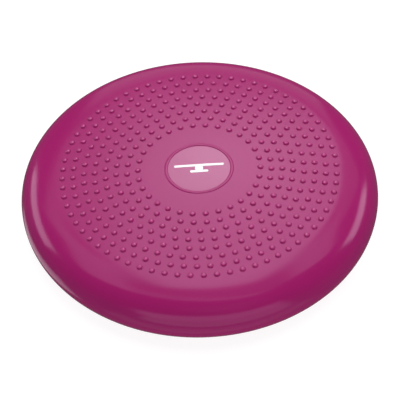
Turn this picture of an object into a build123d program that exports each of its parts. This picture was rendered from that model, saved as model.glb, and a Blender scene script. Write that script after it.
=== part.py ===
from build123d import *

import os
from math import pi, sqrt

# Balance pad: a round, air-filled PVC cushion that is stood or sat on and tilts underfoot.
# Millimetres. The origin is on the floor under the middle of the pad, +Z up, +X to the user's right.

# The cushion's outline, from the floor up
pad_diameter = 330.0
rim_radius = 26.0          # the round side wall, seen in section
foot_drop = 1.7            # from the side wall's lowest level down to the flat of the underside
foot_margin = 55.0         # from the side in to the flat of the underside
deck_rise = 2.91           # from the side wall's highest level up to the edge of the deck's dome
shoulder_width = 35.5      # from the side in to the deck's dome
crown_radius = 1650.0      # the deck's shallow dome
skin_wall = 3.2            # PVC

# Nubs on the deck: rings of small domes, all rings starting on one line
first_ring_radius = 56.5
ring_pitch = 10.0
nub_spacing = 11.68        # along a ring, at least
nub_start_angle = 57.5
nub_diameter = 5.2
nub_height = 1.6

# Medallion: a raised ring around a smooth disc that carries a print
medallion_radius = 30.4
medallion_ring_width = 3.0
medallion_ring_height = 0.5
print_length = 46.0
print_bar = 2.8
print_disc = 7.6
print_base = 17.0
print_gap = 4.6            # between the long bar and the short one, which the disc bridges
print_thickness = 0.2

# Weld between the skins, with the flash it leaves inside
weld_height = 2.0
weld_flash = 2.4
weld_round = 0.6

# Grip rings under the foot, flat where they stand on the floor
inner_grip_radii = (28.0, 46.0, 62.0)
outer_grip_inset = 4.0     # from the edge of the flat in to the middle of the outermost ring
grip_width = 3.0
grip_height = 0.8

# Valve in the underside, in a recess, so that nothing of it touches the floor
valve_offset = 84.0        # behind the middle
recess_diameter = 22.0
recess_depth = 3.0
neck_wall = 2.6
neck_length = 12.0
stem_diameter = 10.0
flange_diameter = 18.0
flange_thickness = 1.5
barb_overhang = 1.2
barb_length = 2.0
barb_taper = 20.0          # degrees
stem_tail = 1.0            # past the barb
stopper_bore = 5.0
stopper_seat_depth = 7.7   # from the flange's face to the core
core_diameter = 6.4
core_length = 8.0
needle_channel = 1.0
stopper_clearance = 0.05   # on the radius
stopper_head_diameter = 12.0
stopper_head_thickness = 1.2
stopper_shank_length = 6.4
stopper_nose = 1.2
nail_notch = 3.0

# Levels and places that follow
foot_level = grip_height
equator_height = foot_level + foot_drop + rim_radius
deck_radius = pad_diameter / 2 - shoulder_width
dome_drop = crown_radius - sqrt(crown_radius**2 - deck_radius**2)
crown_height = equator_height + rim_radius + deck_rise + dome_drop
foot_radius = pad_diameter / 2 - foot_margin
grip_radii = inner_grip_radii + (foot_radius - outer_grip_inset,)
rim_centre = Vector(pad_diameter / 2 - rim_radius, equator_height)
crown_centre = Vector(0, crown_height - crown_radius)
foot_edge = Vector(foot_radius, foot_level)
down = Vector(0, -1)

os.makedirs("parts", exist_ok=True)


def dome_normal(radius):
    """The deck's normal at a distance from the axis."""
    return Vector(radius / crown_radius, sqrt(1 - (radius / crown_radius) ** 2))


def dome_point(radius):
    """The point of the deck's surface at a distance from the axis."""
    return crown_centre + dome_normal(radius) * crown_radius


def shoulder(edge, normal):
    """Centre, radius and last normal of the arc that runs from a face's edge into the rim's arc."""
    gap = edge - rim_centre
    radius = (gap.dot(gap) - rim_radius**2) / (2 * (gap.dot(normal) - rim_radius))
    centre = edge - normal * radius
    return centre, radius, (rim_centre - centre).normalized()


def arc(centre, radius, first, last):
    """The arc about centre between two normals. Joins the line being drawn, and returns its end."""
    middle = (first + last).normalized()
    ThreePointArc(centre + first * radius, centre + middle * radius, centre + last * radius)
    return centre + last * radius


def rim_normal(inset, side):
    """The rim's normal where a skin stops at the weld: side is 1 above the equator and -1 below."""
    rise = side * weld_height / 2 / (rim_radius - inset)
    return Vector(sqrt(1 - rise**2), rise)


def deck_line(inset, ringed):
    """The upper skin's surface, inset from the outer one, from the axis to the weld."""
    edge_normal = dome_normal(deck_radius)
    centre, radius, normal = shoulder(dome_point(deck_radius), edge_normal)
    dome_start = Vector(0, 1)
    if ringed:
        ring_inner = medallion_radius - medallion_ring_width / 2
        ring_outer = medallion_radius + medallion_ring_width / 2
        ring_crest = dome_point(medallion_radius) + Vector(0, medallion_ring_height)
        arc(crown_centre, crown_radius, dome_start, dome_normal(ring_inner))
        ThreePointArc(dome_point(ring_inner), ring_crest, dome_point(ring_outer))
        dome_start = dome_normal(ring_outer)
    arc(crown_centre, crown_radius - inset, dome_start, edge_normal)
    arc(centre, radius - inset, edge_normal, normal)
    return arc(rim_centre, rim_radius - inset, normal, rim_normal(inset, 1))


def foot_line(inset):
    """The lower skin's surface, inset from the outer one, from the axis to the weld."""
    centre, radius, normal = shoulder(foot_edge, down)
    Line((0, foot_level + inset), (foot_radius, foot_level + inset))
    arc(centre, radius - inset, down, normal)
    return arc(rim_centre, rim_radius - inset, normal, rim_normal(inset, -1))


# Upper skin: deck, shoulder and the upper half of the side wall
with BuildPart() as upper_skin:
    with BuildSketch(Plane.XZ):
        with BuildLine():
            outer_end = deck_line(0, ringed=True)
            inner_end = deck_line(skin_wall, ringed=False)
            Line(outer_end, inner_end)
            Line((0, crown_height), (0, crown_height - skin_wall))
        make_face()
    revolve(axis=Axis.Z)
    nub_ball = (nub_height**2 + (nub_diameter / 2) ** 2) / (2 * nub_height)
    ring_radius = first_ring_radius
    while ring_radius + nub_diameter / 2 < deck_radius:
        with Locations(Plane.XY.offset(dome_point(ring_radius).Y + nub_height - nub_ball)):
            with PolarLocations(ring_radius, int(2 * pi * ring_radius / nub_spacing), nub_start_angle):
                Sphere(nub_ball, arc_size1=0, align=(Align.CENTER, Align.CENTER, Align.MIN))
        ring_radius += ring_pitch
upper_skin.part.label = "upper_skin"
export_step(upper_skin.part, "parts/upper_skin.step")

# Lower skin: underside, lower half of the side wall, and the recess and neck that hold the valve
recess_ceiling = foot_level + recess_depth
neck_top = recess_ceiling + neck_length
valve_place = (0, valve_offset)

with BuildPart() as lower_skin:
    with BuildSketch(Plane.XZ):
        with BuildLine():
            outer_end = foot_line(0)
            inner_end = foot_line(skin_wall)
            Line(outer_end, inner_end)
            Line((0, foot_level), (0, foot_level + skin_wall))
        make_face()
    revolve(axis=Axis.Z)
    with BuildSketch(Plane.XZ):
        for grip_radius in grip_radii:
            with Locations((grip_radius, foot_level)):
                Rectangle(grip_width, 2 * grip_height)
    revolve(axis=Axis.Z)
    with BuildSketch(Plane.XY.offset(foot_level)):
        with Locations(valve_place):
            Circle(recess_diameter / 2 + skin_wall)
    extrude(amount=recess_depth + skin_wall)
    with BuildSketch(Plane.XY.offset(foot_level)):
        with Locations(valve_place):
            Circle(stem_diameter / 2 + neck_wall)
    extrude(amount=recess_depth + neck_length)
    with BuildSketch(Plane.XY):
        with Locations(valve_place):
            Circle(recess_diameter / 2)
    extrude(amount=recess_ceiling, mode=Mode.SUBTRACT)
    with BuildSketch(Plane.XY):
        with Locations(valve_place):
            Circle(stem_diameter / 2)
    extrude(amount=neck_top, mode=Mode.SUBTRACT)
lower_skin.part.label = "lower_skin"
export_step(lower_skin.part, "parts/lower_skin.step")

# Weld: the bead of fused PVC between the two skins, flush outside, with its flash inside
with BuildPart() as weld_bead:
    with BuildSketch(Plane.XZ):
        with BuildLine():
            bead_top = arc(rim_centre, rim_radius, rim_normal(0, -1), rim_normal(0, 1))
            flash_radius = pad_diameter / 2 - skin_wall - weld_flash
            Polyline(
                bead_top,
                (flash_radius, bead_top.Y),
                (flash_radius, bead_top.Y - weld_height),
                (bead_top.X, bead_top.Y - weld_height),
            )
        make_face()
        fillet(vertices().group_by(Axis.X)[0], radius=weld_round)
    revolve(axis=Axis.Z)
weld_bead.part.label = "weld_bead"
export_step(weld_bead.part, "parts/weld_bead.step")

# Print on the medallion: a long bar balanced on a disc over a short one, lying on the dome
with BuildPart() as badge_print:
    with BuildSketch(Plane.XZ):
        with BuildLine():
            film_edge = dome_normal(medallion_radius)
            film_foot = arc(crown_centre, crown_radius, Vector(0, 1), film_edge)
            film_top = arc(crown_centre, crown_radius + print_thickness, Vector(0, 1), film_edge)
            Line(film_foot, film_top)
            Line((0, crown_height), (0, crown_height + print_thickness))
        make_face()
    revolve(axis=Axis.Z)
    with BuildSketch(Plane.XY.offset(dome_point(medallion_radius).Y)):
        Circle(print_disc / 2)
        with Locations((0, print_gap / 2 + print_bar / 2)):
            SlotOverall(print_length, print_bar)
        with Locations((0, -print_gap / 2 - print_bar / 2)):
            SlotOverall(print_base, print_bar)
    extrude(amount=medallion_radius, mode=Mode.INTERSECT)
badge_print.part.label = "badge_print"
export_step(badge_print.part, "parts/badge_print.step")

# Valve housing: soft rubber, its flange against the recess's ceiling and its barb past the neck
flange_face = recess_ceiling - flange_thickness
core_seat = flange_face + stopper_seat_depth
barb_top = neck_top + barb_length
housing_top = barb_top + stem_tail

with BuildPart() as valve_housing:
    with BuildSketch(Plane.XY.offset(flange_face)):
        with Locations(valve_place):
            Circle(flange_diameter / 2)
    extrude(amount=flange_thickness)
    with BuildSketch(Plane.XY.offset(flange_face)):
        with Locations(valve_place):
            Circle(stem_diameter / 2)
    extrude(amount=housing_top - flange_face)
    with BuildSketch(Plane.XY.offset(neck_top)):
        with Locations(valve_place):
            Circle(stem_diameter / 2 + barb_overhang)
    extrude(amount=barb_length, taper=barb_taper)
    with BuildSketch(Plane.XY.offset(flange_face)):
        with Locations(valve_place):
            Circle(stopper_bore / 2)
    extrude(amount=stopper_seat_depth, mode=Mode.SUBTRACT)
    with BuildSketch(Plane.XY.offset(core_seat)):
        with Locations(valve_place):
            Circle(core_diameter / 2)
    extrude(amount=housing_top - core_seat, mode=Mode.SUBTRACT)
valve_housing.part.label = "valve_housing"
export_step(valve_housing.part, "parts/valve_housing.step")

# Valve core: the self-sealing plug that the pump's needle goes through; air holds it on its seat
with BuildPart() as valve_core:
    with BuildSketch(Plane.XY.offset(core_seat)):
        with Locations(valve_place):
            Circle(core_diameter / 2)
            Circle(needle_channel / 2, mode=Mode.SUBTRACT)
    extrude(amount=core_length)
valve_core.part.label = "valve_core"
export_step(valve_core.part, "parts/valve_core.step")

# Stopper: closes the valve, and pulls out by a notch for a fingernail
with BuildPart() as valve_stopper:
    with BuildSketch(Plane.XY.offset(flange_face - stopper_head_thickness)):
        with Locations(valve_place):
            Circle(stopper_head_diameter / 2)
        with Locations((0, valve_offset - stopper_head_diameter / 2)):
            Circle(nail_notch / 2, mode=Mode.SUBTRACT)
    extrude(amount=stopper_head_thickness)
    with BuildSketch(Plane.XY.offset(flange_face)):
        with Locations(valve_place):
            Circle(stopper_bore / 2 - stopper_clearance)
    extrude(amount=stopper_shank_length)
    chamfer(edges().group_by(Axis.Z)[-1], length=stopper_nose)
valve_stopper.part.label = "valve_stopper"
export_step(valve_stopper.part, "parts/valve_stopper.step")
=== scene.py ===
import bpy
from math import asin, atan2, cos, pi, radians, sin, sqrt

from mathutils import Matrix, Vector


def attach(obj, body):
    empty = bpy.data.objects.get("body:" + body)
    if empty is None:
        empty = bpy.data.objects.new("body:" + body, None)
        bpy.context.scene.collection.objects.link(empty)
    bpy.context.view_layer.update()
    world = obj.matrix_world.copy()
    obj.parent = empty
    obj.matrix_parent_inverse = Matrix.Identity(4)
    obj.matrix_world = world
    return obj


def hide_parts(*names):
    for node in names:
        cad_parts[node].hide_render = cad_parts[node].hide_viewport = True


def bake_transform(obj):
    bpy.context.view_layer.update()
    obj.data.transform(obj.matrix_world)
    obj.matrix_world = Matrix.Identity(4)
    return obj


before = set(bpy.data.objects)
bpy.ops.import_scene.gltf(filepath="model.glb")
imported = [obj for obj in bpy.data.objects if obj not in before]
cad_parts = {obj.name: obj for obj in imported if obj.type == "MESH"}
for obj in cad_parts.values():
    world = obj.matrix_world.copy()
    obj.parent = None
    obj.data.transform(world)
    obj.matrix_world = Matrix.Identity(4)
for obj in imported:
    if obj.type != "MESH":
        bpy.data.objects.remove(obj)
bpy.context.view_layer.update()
bpy.ops.object.select_all(action="DESELECT")


# --- Upper skin -----------------------------------------------------------------------------
# The half of the air bag that is stood on: plasticised PVC about 3 mm thick, moulded in one
# piece with its nubs and the medallion's ring, then welded to the lower skin round the middle.

MM = 0.001
PAD_RADIUS = 165 * MM
EQUATOR = 28.5 * MM            # height of the widest level, where the weld is
RIM_RADIUS = 26 * MM           # the round side, in section
CROWN_HEIGHT = 62.5 * MM
CROWN_RADIUS = 1650 * MM       # the deck's shallow dome
DECK_RADIUS = 129.5 * MM       # where the dome ends
SKIN_WALL = 3.2 * MM
WELD_HEIGHT = 2 * MM
RING_INNER = 28.9 * MM         # the medallion's raised ring
RING_OUTER = 31.9 * MM
RING_RISE = 0.5 * MM
RING_SLOPE = 0.55 * MM         # from a foot of the ring to its flat top
AROUND = 192                   # divisions round the pad
SHOULDER_STEPS = 14            # divisions of the shoulder's arc outside, half as many as the rim's
INNER_STEPS = 6                # the same inside the skin
RING_STEPS = 6                 # divisions of each slope of the medallion's ring
DOME_STEPS = 12                # rows between the medallion and the dome's edge
SMOOTH_ANGLE = radians(35)     # sharper edges stay sharp
MERGE_DISTANCE = 0.001 * MM

rim_centre = Vector((PAD_RADIUS - RIM_RADIUS, EQUATOR))
crown_centre = Vector((0, CROWN_HEIGHT - CROWN_RADIUS))


def slope_normal(radius):
    """The dome's normal at a distance from the axis, as (outward, up)."""
    return Vector((radius / CROWN_RADIUS, sqrt(1 - (radius / CROWN_RADIUS) ** 2)))


def shoulder(edge, normal):
    """Centre, radius and last normal of the arc that runs from a face's edge into the rim."""
    gap = edge - rim_centre
    radius = (gap.dot(gap) - RIM_RADIUS**2) / (2 * (gap.dot(normal) - RIM_RADIUS))
    centre = edge - normal * radius
    return centre, radius, (rim_centre - centre).normalized()


def arc_points(centre, radius, first, last, steps):
    """Points of an arc between two normals, without its first point."""
    start = atan2(first.y, first.x)
    sweep = atan2(last.y, last.x) - start
    angles = [start + sweep * (i + 1) / steps for i in range(steps)]
    return [centre + Vector((cos(a), sin(a))) * radius for a in angles]


def weld_normal(inset, side):
    """The rim's normal where a skin stops at the weld, above (1) or below (-1) the equator."""
    rise = side * WELD_HEIGHT / 2 / (RIM_RADIUS - inset)
    return Vector((sqrt(1 - rise**2), rise))


def deck_points(inset, steps):
    """The upper skin in section, from the dome's edge to the weld."""
    edge_normal = slope_normal(DECK_RADIUS)
    edge = crown_centre + edge_normal * CROWN_RADIUS
    centre, radius, normal = shoulder(edge, edge_normal)
    points = arc_points(centre, radius - inset, edge_normal, normal, steps)
    last = weld_normal(inset, 1)
    return points + arc_points(rim_centre, RIM_RADIUS - inset, normal, last, 2 * steps)


def dome_points(inset, radii):
    """Points on the dome at these distances from the axis."""
    return [crown_centre + slope_normal(r) * (CROWN_RADIUS - inset) for r in radii]


def ring_bump(steps):
    """The medallion's ring in section: a low flat-topped bead with round feet and round edges."""
    rises = [(1 - cos(pi * i / steps)) / 2 for i in range(steps + 1)]
    places = [RING_INNER + RING_SLOPE * i / steps for i in range(steps + 1)]
    places += [RING_OUTER - RING_SLOPE * (1 - i / steps) for i in range(steps + 1)]
    lifts = [Vector((0, RING_RISE * rise)) for rise in rises + rises[::-1]]
    return [point + lift for point, lift in zip(dome_points(0, places), lifts)]


def start_circle(name, point, around, fill_type):
    """A circle at a section's first point, all of it selected and ready to be extruded."""
    bpy.ops.mesh.primitive_circle_add(
        vertices=around, radius=point.x, fill_type=fill_type, location=(0, 0, point.y)
    )
    piece = bpy.context.object
    piece.name = name
    bpy.ops.object.transform_apply(location=True, rotation=False, scale=False)
    bpy.ops.object.mode_set(mode="EDIT")
    bpy.ops.mesh.select_all(action="SELECT")
    return piece


def follow(section):
    """Extrudes the selected loop from point to point of a section, and scales it about the axis."""
    for before, after in zip(section, section[1:]):
        bpy.ops.mesh.extrude_edges_move(
            TRANSFORM_OT_translate={"value": (0, 0, after.y - before.y)}
        )
        grow = after.x / before.x
        bpy.ops.transform.resize(value=(grow, grow, 1), center_override=(0, 0, 0))


def finish_mesh():
    """Turns every normal outward and leaves edit mode."""
    bpy.ops.mesh.select_all(action="SELECT")
    bpy.ops.mesh.normals_make_consistent(inside=False)
    bpy.ops.object.mode_set(mode="OBJECT")


def turned(name, section):
    """A closed skin: a disc's rim is taken along the section, and the last loop is closed."""
    piece = start_circle(name, section[0], AROUND, "TRIFAN")
    bpy.ops.mesh.region_to_loop()
    follow(section)
    bpy.ops.mesh.edge_face_add()
    bpy.ops.mesh.poke()
    finish_mesh()
    return piece


def ring_turned(name, section, around):
    """A closed ring: a circle is taken right round the section, back to its start."""
    piece = start_circle(name, section[0], around, "NOTHING")
    follow(section + [section[0]])
    bpy.ops.mesh.select_all(action="SELECT")
    bpy.ops.mesh.remove_doubles(threshold=MERGE_DISTANCE)
    finish_mesh()
    return piece


# The air doesn't fill the soft rim quite evenly: it is a little long from the back left to the
# front right, and sits a little to the left of the deck.
LONG_AXIS = radians(135)       # from +X, anticlockwise
LONGER = 0.0137
SHORTER = 0.0036
RIM_SHIFT = Vector((-1.2 * MM, 0.3 * MM, 0))
SOFT_FROM = DECK_RADIUS + 2 * MM
SOFT_TO = DECK_RADIUS + 20 * MM
SOFT_STEPS = 8


def ease_rim(piece):
    """Eases the rim out of round in small steps, each taking hold a little further out."""
    bpy.ops.object.select_all(action="DESELECT")
    piece.select_set(True)
    bpy.context.view_layer.objects.active = piece
    for step in range(SOFT_STEPS):
        hold = SOFT_FROM + (SOFT_TO - SOFT_FROM) * step / (SOFT_STEPS - 1)
        bpy.ops.object.mode_set(mode="EDIT")
        bpy.ops.mesh.select_all(action="DESELECT")
        bpy.ops.object.mode_set(mode="OBJECT")
        for vertex in piece.data.vertices:
            vertex.select = vertex.co.xy.length > hold
        bpy.ops.object.mode_set(mode="EDIT")
        bpy.ops.transform.rotate(value=LONG_AXIS, orient_axis="Z", center_override=(0, 0, 0))
        bpy.ops.transform.resize(
            value=(1 + LONGER / SOFT_STEPS, 1 - SHORTER / SOFT_STEPS, 1), center_override=(0, 0, 0)
        )
        bpy.ops.transform.rotate(value=-LONG_AXIS, orient_axis="Z", center_override=(0, 0, 0))
        bpy.ops.transform.translate(value=RIM_SHIFT / SOFT_STEPS)
        bpy.ops.object.mode_set(mode="OBJECT")


RING_EDGE = 0.35 * MM          # the ring's feet meet the dome this sharply
inner_dome = [8 * MM, 16 * MM, 24 * MM, RING_INNER - RING_EDGE]
outer_dome = [RING_OUTER + RING_EDGE]
dome_row = (DECK_RADIUS - RING_OUTER) / DOME_STEPS
outer_dome += [RING_OUTER + step * dome_row for step in range(1, DOME_STEPS + 1)]
outer_face = dome_points(0, inner_dome) + ring_bump(RING_STEPS)
outer_face += dome_points(0, outer_dome) + deck_points(0, SHOULDER_STEPS)
inner_face = dome_points(SKIN_WALL, [8 * MM, 70 * MM, DECK_RADIUS])
inner_face += deck_points(SKIN_WALL, INNER_STEPS)
upper_skin = turned("upper_skin_moulded", outer_face + inner_face[::-1])
ease_rim(upper_skin)
bpy.ops.object.shade_smooth_by_angle(angle=SMOOTH_ANGLE)

# The nubs: low round domes that flare into the skin at their feet, in rings 10 mm apart that all
# start on one line.
FIRST_RING = 56.5 * MM
RING_PITCH = 10 * MM
RINGS = 8
NUB_SPACING = 11.68 * MM
NUB_START = radians(57.5)
NUB_SECTION = [                # from the foot up: distance from its axis and height, in mm
    (3.05, -0.03),
    (2.70, 0.08),
    (2.46, 0.38),
    (2.28, 0.84),
    (1.95, 1.24),
    (1.38, 1.49),
    (0.68, 1.60),
]
NUB_TOP = 1.64 * MM
NUB_SIDES = 12

nub_section = [Vector(point) * MM for point in NUB_SECTION]
nub = start_circle("nub", nub_section[0], NUB_SIDES, "NGON")
follow(nub_section)
bpy.ops.mesh.extrude_edges_move(
    TRANSFORM_OT_translate={"value": (0, 0, NUB_TOP - nub_section[-1].y)}
)
bpy.ops.mesh.merge(type="CENTER")
finish_mesh()
bpy.ops.object.shade_smooth()

nubs = []
for ring in range(RINGS):
    ring_radius = FIRST_RING + ring * RING_PITCH
    count = int(2 * pi * ring_radius / NUB_SPACING)
    foot = dome_points(0, [ring_radius])[0]
    lean = Matrix.Rotation(asin(ring_radius / CROWN_RADIUS), 4, "Y")
    for step in range(count):
        turn = NUB_START + 2 * pi * step / count
        copy = nub.copy()
        copy.data = nub.data.copy()
        copy.data.transform(
            Matrix.Rotation(turn, 4, "Z") @ Matrix.Translation((foot.x, 0, foot.y)) @ lean
        )
        bpy.context.collection.objects.link(copy)
        nubs.append(copy)
bpy.data.objects.remove(nub)
bpy.ops.object.select_all(action="DESELECT")
for copy in nubs:
    copy.select_set(True)
upper_skin.select_set(True)
bpy.context.view_layer.objects.active = upper_skin
bpy.ops.object.join()


def linear(hex_colour):
    """An sRGB hex colour as the linear RGBA that a shader socket takes."""
    values = [int(hex_colour[i : i + 2], 16) / 255 for i in (1, 3, 5)]
    return [v / 12.92 if v <= 0.04045 else ((v + 0.055) / 1.055) ** 2.4 for v in values] + [1]


def add_node(material, kind, settings=None, **sockets):
    """Adds a node with its settings. A socket is given a value, or (node, output) to link from."""
    node = material.node_tree.nodes.new(kind)
    for key, value in (settings or {}).items():
        setattr(node, key, value)
    for key, value in sockets.items():
        fill(material, node, key.replace("_", " "), value)
    return node


def fill(material, node, socket_name, value):
    """Sets a node's socket, or links it if the value is (node, output)."""
    names = [s.name.lower() for s in node.inputs]
    socket = node.inputs[names.index(socket_name.lower())]
    if isinstance(value, tuple) and isinstance(value[0], bpy.types.Node):
        material.node_tree.links.new(value[0].outputs[value[1]], socket)
    else:
        socket.default_value = value


def grained(name, colour, roughness, grain, detail, strength, depth):
    """A one-colour material with a fine relief, grain and depth in metres. Also its shader."""
    material = bpy.data.materials.new(name)
    material.use_nodes = True
    shader = material.node_tree.nodes["Principled BSDF"]
    place = add_node(material, "ShaderNodeTexCoord")
    noise = add_node(
        material, "ShaderNodeTexNoise", Vector=(place, "Object"), Scale=1 / grain, Detail=detail
    )
    relief = add_node(
        material, "ShaderNodeBump", Strength=strength, Distance=depth, Height=(noise, "Fac")
    )
    material.node_tree.links.new(relief.outputs["Normal"], shader.inputs["Normal"])
    shader.inputs["Base Color"].default_value = linear(colour)
    shader.inputs["Roughness"].default_value = roughness
    return material, shader


def dress(piece, *materials):
    """Gives a piece these materials and no others."""
    piece.data.materials.clear()
    for material in materials:
        piece.data.materials.append(material)


# Plasticised PVC straight from a satin mould: one raspberry colour all through, with a soft
# sheen from a grain too fine to see singly. The grain is drawn at 0.9 mm so that it shows.
PVC_COLOUR = "#92155C"
PVC_COLOUR_PALE = "#981961"
PVC_SHEEN = "#FFDAFF"
PVC_IOR = 1.53
PVC_GRAIN = 0.9 * MM
PVC_GRAIN_DEPTH = 0.05 * MM
PVC_CLOUD = 60 * MM            # the colour drifts over this distance
DECK_ROUGHNESS = 0.24
RIM_ROUGHNESS = 0.17

pvc, shader = grained(
    "Plasticised PVC, satin mould",
    PVC_COLOUR, DECK_ROUGHNESS, PVC_GRAIN, detail=2.0, strength=0.12, depth=PVC_GRAIN_DEPTH,
)
pvc_place = pvc.node_tree.nodes["Texture Coordinate"]
cloud = add_node(
    pvc, "ShaderNodeTexNoise", Vector=(pvc_place, "Object"), Scale=1 / PVC_CLOUD, Detail=3.0
)
tint = add_node(pvc, "ShaderNodeMix", {"data_type": "RGBA"}, Factor=(cloud, "Fac"))
tint.inputs[6].default_value = linear(PVC_COLOUR)
tint.inputs[7].default_value = linear(PVC_COLOUR_PALE)
pvc.node_tree.links.new(tint.outputs[2], shader.inputs["Base Color"])
shader.inputs["IOR"].default_value = PVC_IOR
shader.inputs["Specular Tint"].default_value = linear(PVC_SHEEN)


def glossier(name, roughness, coat, coat_roughness):
    """A copy of the PVC that mirrors more."""
    copy = pvc.copy()
    copy.name = name
    copy_shader = copy.node_tree.nodes["Principled BSDF"]
    copy_shader.inputs["Roughness"].default_value = roughness
    copy_shader.inputs["Coat Weight"].default_value = coat
    copy_shader.inputs["Coat Roughness"].default_value = coat_roughness
    return copy


# Inside the ring the mould is polished, so the same PVC comes out smoother and mirrors more.
polished = glossier("Plasticised PVC, polished mould", 0.16, coat=0.6, coat_roughness=0.2)

# The nub tops are glossier and painted paler, a painted highlight that picks each out of the deck.
PAINTED_HIGHLIGHT_COLOUR = "#A0266A"
PAINTED_HIGHLIGHT_COLOUR_PALE = "#A82C72"

nub_tops_painted_highlight = glossier("Plasticised PVC, rubbed shiny", 0.14, coat=0.7, coat_roughness=0.12)
# The nub tops' colour, a little paler than the deck's: a painted highlight.
nub_tops_painted_highlight.node_tree.nodes["Mix"].inputs[6].default_value = linear(PAINTED_HIGHLIGHT_COLOUR)
nub_tops_painted_highlight.node_tree.nodes["Mix"].inputs[7].default_value = linear(PAINTED_HIGHLIGHT_COLOUR_PALE)
dress(upper_skin, pvc, polished, nub_tops_painted_highlight)

# The rim, stretched smooth by the air, is glossier than the deck.
GLOSS_FROM = DECK_RADIUS - 3 * MM
GLOSS_TO = DECK_RADIUS + 15 * MM

flattened = add_node(pvc, "ShaderNodeVectorMath", {"operation": "MULTIPLY"})
flattened.inputs[1].default_value = (1, 1, 0)
pvc.node_tree.links.new(pvc_place.outputs["Object"], flattened.inputs[0])
outward = add_node(
    pvc, "ShaderNodeVectorMath", {"operation": "LENGTH"}, Vector=(flattened, "Vector")
)
gloss = add_node(
    pvc,
    "ShaderNodeMapRange",
    Value=(outward, "Value"),
    From_Min=GLOSS_FROM,
    From_Max=GLOSS_TO,
    To_Min=DECK_ROUGHNESS,
    To_Max=RIM_ROUGHNESS,
)
pvc.node_tree.links.new(gloss.outputs["Result"], shader.inputs["Roughness"])

POLISHED, PAINTED_HIGHLIGHT = 1, 2        # places in the upper skin's list of materials
PAINTED_HIGHLIGHT_HEIGHT = 1.15 * MM      # above the deck
# Faces standing well above the dome, the tops of the nubs, get the glossier material with the
# painted highlight.
for face in upper_skin.data.polygons:
    out = face.center.xy.length
    if out < RING_INNER - RING_EDGE and face.center.z > CROWN_HEIGHT - SKIN_WALL / 2:
        face.material_index = POLISHED
    if RING_OUTER < out < DECK_RADIUS:
        if face.center.z > dome_points(0, [out])[0].y + PAINTED_HIGHLIGHT_HEIGHT:
            face.material_index = PAINTED_HIGHLIGHT

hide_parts("upper_skin")
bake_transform(upper_skin)


# --- Weld -------------------------------------------------------------------------------------
# The bead of PVC that fuses the two skins together. It is trimmed flush outside, so it shows as
# no more than a faint line.

WELD_FLASH = 2.4 * MM          # how far it stands proud inside
FLASH_ROUND = 0.5 * MM
weld_foot = rim_centre + weld_normal(0, -1) * RIM_RADIUS
weld_head = rim_centre + weld_normal(0, 1) * RIM_RADIUS
flash_radius = PAD_RADIUS - SKIN_WALL - WELD_FLASH
weld_section = [
    weld_foot,
    rim_centre + Vector((RIM_RADIUS, 0)),
    weld_head,
    Vector((flash_radius + FLASH_ROUND, weld_head.y)),
    Vector((flash_radius, EQUATOR)),
    Vector((flash_radius + FLASH_ROUND, weld_foot.y)),
]
weld = ring_turned("weld_bead_moulded", weld_section, AROUND)
ease_rim(weld)
bpy.ops.object.shade_smooth_by_angle(angle=SMOOTH_ANGLE)
dress(weld, pvc)
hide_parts("weld_bead")
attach(weld, "seam")


# --- Lower skin -------------------------------------------------------------------------------
# The half that lies on the floor, of the same PVC: a flat foot with low grip rings, and a recess
# near the back for the valve, whose neck stands up inside.

FOOT_LEVEL = 0.8 * MM
FOOT_RADIUS = 110 * MM
GRIP_RADII = [28 * MM, 46 * MM, 62 * MM, 106 * MM]
GRIP_WIDTH = 3 * MM
GRIP_FOOT = 0.3 * MM           # its foot is this much wider on each side
GRIP_EASE = 0.25 * MM          # down to where its side starts
GRIP_ROUND = 0.35 * MM         # its crest is this much narrower on each side
SOLE_START = 10 * MM
SOLE_STEPS = 12
SOLE_TOP = FOOT_LEVEL + SKIN_WALL


def foot_points(inset, steps):
    """The lower skin in section, from the flat foot's edge to the weld."""
    edge = Vector((FOOT_RADIUS, FOOT_LEVEL))
    down = Vector((0, -1))
    centre, radius, normal = shoulder(edge, down)
    points = arc_points(centre, radius - inset, down, normal, steps)
    last = weld_normal(inset, -1)
    return points + arc_points(rim_centre, RIM_RADIUS - inset, normal, last, 2 * steps)


sole = [Vector((SOLE_START, FOOT_LEVEL))]
for grip in GRIP_RADII:
    grip_inner = grip - GRIP_WIDTH / 2
    grip_outer = grip + GRIP_WIDTH / 2
    sole += [
        Vector((grip_inner - GRIP_FOOT, FOOT_LEVEL)),
        Vector((grip_inner, FOOT_LEVEL - GRIP_EASE)),
        Vector((grip_inner + GRIP_ROUND, 0)),
        Vector((grip_outer - GRIP_ROUND, 0)),
        Vector((grip_outer, FOOT_LEVEL - GRIP_EASE)),
        Vector((grip_outer + GRIP_FOOT, FOOT_LEVEL)),
    ]
sole.append(Vector((FOOT_RADIUS, FOOT_LEVEL)))
inner_sole = [Vector((SOLE_START, SOLE_TOP)), Vector((FOOT_RADIUS, SOLE_TOP))]
outside = sole + foot_points(0, SOLE_STEPS)
inside = inner_sole + foot_points(SKIN_WALL, INNER_STEPS)
lower_skin = turned("lower_skin_moulded", outside + inside[::-1])
ease_rim(lower_skin)

# The opening for the valve is cut through the sole.
VALVE_OFFSET = 84 * MM
RECESS_RADIUS = 11 * MM
VALVE_SIDES = 64
CUT_MIDDLE = 2 * MM            # the cutter runs past both faces of the sole
CUT_DEPTH = 8 * MM
bpy.ops.mesh.primitive_cylinder_add(
    vertices=VALVE_SIDES,
    radius=RECESS_RADIUS,
    depth=CUT_DEPTH,
    location=(0, VALVE_OFFSET, CUT_MIDDLE),
)
cutter = bpy.context.object
bpy.ops.object.select_all(action="DESELECT")
lower_skin.select_set(True)
bpy.context.view_layer.objects.active = lower_skin
cut = lower_skin.modifiers.new("recess", "BOOLEAN")
cut.operation = "DIFFERENCE"
cut.object = cutter
bpy.ops.object.modifier_apply(modifier="recess")
bpy.data.objects.remove(cutter)
bpy.ops.object.shade_smooth_by_angle(angle=SMOOTH_ANGLE)
dress(lower_skin, pvc)
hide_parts("lower_skin")
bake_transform(lower_skin)

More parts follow.
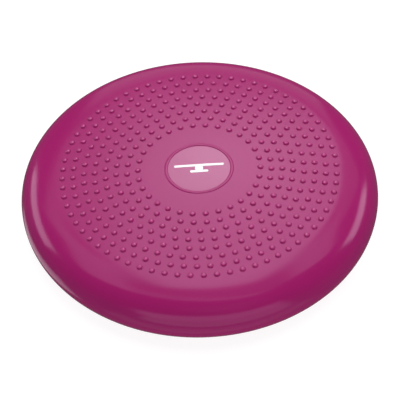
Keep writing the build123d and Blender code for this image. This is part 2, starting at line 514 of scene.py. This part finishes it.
# The recess's thick ceiling with the neck on it, in one ring of the same PVC.
NECK_BORE = 5.0 * MM
NECK_OUTER = 7.6 * MM
NECK_TOP = 15.8 * MM
BOSS_RADIUS = 14.2 * MM
BOSS_TOP = 7.0 * MM
RECESS_CEILING = 3.8 * MM
EDGE_ROUND = 0.4 * MM
neck_section = [
    Vector((NECK_BORE, RECESS_CEILING)),
    Vector((RECESS_RADIUS - EDGE_ROUND, RECESS_CEILING)),
    Vector((RECESS_RADIUS, SOLE_TOP)),
    Vector((BOSS_RADIUS, SOLE_TOP)),
    Vector((BOSS_RADIUS, BOSS_TOP - EDGE_ROUND)),
    Vector((BOSS_RADIUS - EDGE_ROUND, BOSS_TOP)),
    Vector((NECK_OUTER, BOSS_TOP)),
    Vector((NECK_OUTER, NECK_TOP - EDGE_ROUND)),
    Vector((NECK_OUTER - EDGE_ROUND, NECK_TOP)),
    Vector((NECK_BORE, NECK_TOP)),
]
valve_neck = ring_turned("valve_neck", neck_section, VALVE_SIDES)
bpy.ops.object.mode_set(mode="EDIT")
bpy.ops.mesh.select_all(action="SELECT")
bpy.ops.transform.translate(value=(0, VALVE_OFFSET, 0))
bpy.ops.object.mode_set(mode="OBJECT")
bpy.ops.object.shade_smooth_by_angle(angle=SMOOTH_ANGLE)
dress(valve_neck, pvc)
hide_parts("lower_skin")
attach(valve_neck, "base")


# --- Print on the medallion ---------------------------------------------------------------------
# White screen-printed ink, a fraction of a millimetre thick, on the smooth disc inside the ring:
# a long bar balanced on a disc over a short one.

INK_COLOUR = "#F3EDF2"

# The film lies matt and a little uneven, which sets it off from the polished PVC under it.
ink = grained(
    "Screen-printed vinyl ink",
    INK_COLOUR, 0.45, grain=0.8 * MM, detail=2.0, strength=0.15, depth=0.05 * MM,
)[0]
dress(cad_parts["badge_print"], ink)


# --- Valve --------------------------------------------------------------------------------------
# A soft black rubber housing pushed into the neck, with a self-sealing core inside and a pale
# nylon stopper in its mouth. All of it lies in the recess, clear of the floor.

RUBBER_COLOUR = "#2B2A2C"
NYLON_COLOUR = "#DAD8D2"
NYLON_DEPTH = 2 * MM           # light soaks this far into the stopper

# Butyl rubber: dull and dark, with the moulding's slight roughness.
rubber = grained(
    "Moulded butyl rubber",
    RUBBER_COLOUR, 0.6, grain=0.5 * MM, detail=3.0, strength=0.3, depth=0.05 * MM,
)[0]

# Nylon: milky, with a soft shine.
nylon, nylon_shader = grained(
    "Moulded nylon",
    NYLON_COLOUR, 0.4, grain=0.6 * MM, detail=2.0, strength=0.2, depth=0.04 * MM,
)
nylon_shader.inputs["Subsurface Weight"].default_value = 0.1
nylon_shader.inputs["Subsurface Radius"].default_value = (NYLON_DEPTH, NYLON_DEPTH, NYLON_DEPTH)

dress(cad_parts["valve_housing"], rubber)
dress(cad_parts["valve_core"], rubber)
dress(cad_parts["valve_stopper"], nylon)


# --- Floor, light and camera -------------------------------------------------------------------
# A white lit sweep in a dim room. The PVC mirrors soft panels that stand all round the pad, the
# lowest of them under the sweep, which is left out of reflections. Two fills light the PVC
# without showing in it.

FLOOR_SIZE = 14
FLOOR_COLOUR = "#7C7C7C"
FLOOR_GLOW = 0.9
WHITE = "#FFFFFF"

bpy.ops.object.select_all(action="DESELECT")
bpy.ops.mesh.primitive_plane_add(size=FLOOR_SIZE, location=(0, 0, 0))
floor = bpy.context.object
floor.name = "floor"
sweep = bpy.data.materials.new("White lit sweep")
sweep.use_nodes = True
sweep_shader = sweep.node_tree.nodes["Principled BSDF"]
sweep_shader.inputs["Base Color"].default_value = linear(FLOOR_COLOUR)
sweep_shader.inputs["Roughness"].default_value = 0.9
sweep_shader.inputs["Specular IOR Level"].default_value = 0.1
sweep_shader.inputs["Emission Color"].default_value = linear(WHITE)
sweep_shader.inputs["Emission Strength"].default_value = FLOOR_GLOW
floor.data.materials.append(sweep)
floor.visible_glossy = False

PAD_MIDDLE = Vector((0, 0, 50 * MM))


def softbox(name, azimuth, elevation, distance, size, radiance, mirrored=True):
    """A rectangular light, placed by azimuth from straight behind the pad (+ to the right)."""
    lamp = bpy.data.lights.new(name, "AREA")
    lamp.shape = "RECTANGLE"
    lamp.size, lamp.size_y = size
    lamp.energy = radiance * pi * size[0] * size[1]
    holder = bpy.data.objects.new(name, lamp)
    bpy.context.collection.objects.link(holder)
    turn = radians(azimuth)
    rise = radians(elevation)
    level = cos(rise) * distance
    offset = Vector((sin(turn) * level, cos(turn) * level, sin(rise) * distance))
    holder.location = PAD_MIDDLE + offset
    holder.rotation_euler = offset.to_track_quat("Z", "Y").to_euler()
    holder.visible_glossy = mirrored
    holder.visible_camera = False


# Azimuth and elevation in degrees, distance and size in metres, then how bright the panel looks.
softbox("back_softbox", 5, 59, 2.8, (1.15, 2.2), 1.75)
softbox("hot_centre_wide", 4, 45, 2.7, (0.75, 0.65), 0.95)
softbox("hot_centre", 4, 45, 2.6, (0.35, 0.32), 0.9)
softbox("back_wall", 4, 17, 3.0, (2.0, 1.5), 0.5)
softbox("back_left_wall", -30, 45, 2.9, (1.5, 0.6), 0.6)
softbox("side_left_wall", -64, 60, 2.9, (1.7, 0.95), 0.85)
softbox("side_right_wall", 60, 60, 2.9, (1.5, 0.85), 0.8)
softbox("back_right_wall", 33, 40, 2.9, (1.1, 1.0), 0.45)
softbox("left_softbox", -60, 19, 2.6, (1.8, 0.85), 2.3)
softbox("left_sweep", -72, -38, 1.2, (0.85, 0.42), 0.85)
softbox("right_softbox", 70, 24, 2.6, (1.4, 0.8), 2.8)
softbox("front_strip", -160, 79, 2.7, (2.4, 0.3), 0.6)
softbox("front_wall", 180, 8, 2.6, (4.2, 0.8), 0.85)
softbox("front_low", 176, -14, 2.6, (4.2, 1.3), 0.62)
softbox("front_sweep", 180, -48, 1.2, (2.4, 0.6), 0.2)
softbox("front_fill", 172, 40, 2.7, (1.5, 1.2), 1.7, mirrored=False)
softbox("overhead_fill", 30, 80, 2.9, (3.0, 2.4), 3.15, mirrored=False)

# The room is dim to the pad and pale to the eye.
ROOM_ON_PAD = 0.10
ROOM_SEEN = 0.95
room = bpy.data.worlds.new("studio")
room.use_nodes = True
bpy.context.scene.world = room
ray = add_node(room, "ShaderNodeLightPath")
room_light = room.node_tree.nodes["Background"]
room_light.inputs["Color"].default_value = linear(WHITE)
to_eye = add_node(
    room, "ShaderNodeMapRange", Value=(ray, "Is Camera Ray"), To_Min=ROOM_ON_PAD, To_Max=ROOM_SEEN
)
room.node_tree.links.new(to_eye.outputs["Result"], room_light.inputs["Strength"])

# The camera stands in front of the pad, a little turned about its own axis.
CAMERA_DISTANCE = 1.9435
CAMERA_ELEVATION = radians(46.32)
CAMERA_ROLL = radians(-3.51)
CAMERA_TARGET_HEIGHT = 55.2 * MM
CAMERA_LENS = 189.6
CAMERA_SENSOR = 36
AIM_DOWN = 0.0125297           # the pad stands a little above the middle of the view
AIM_RIGHT = 0.0002848

toward = Vector((0, cos(CAMERA_ELEVATION), -sin(CAMERA_ELEVATION)))
level_right = Vector((1, 0, 0))
level_up = level_right.cross(toward)
right = level_right * cos(CAMERA_ROLL) + level_up * sin(CAMERA_ROLL)
up = level_up * cos(CAMERA_ROLL) - level_right * sin(CAMERA_ROLL)
look = (toward + right * AIM_RIGHT - up * AIM_DOWN).normalized()
side = (right - look * right.dot(look)).normalized()

camera_data = bpy.data.cameras.new("camera")
camera = bpy.data.objects.new("camera", camera_data)
bpy.context.collection.objects.link(camera)
bpy.context.scene.camera = camera
camera_data.sensor_width = CAMERA_SENSOR
camera_data.lens = CAMERA_LENS
spot = Vector((0, 0, CAMERA_TARGET_HEIGHT)) - toward * CAMERA_DISTANCE
facing = Matrix((side, side.cross(look), -look)).transposed().to_4x4()
camera.matrix_world = Matrix.Translation(spot) @ facing

bpy.context.scene.view_settings.view_transform = "Standard"
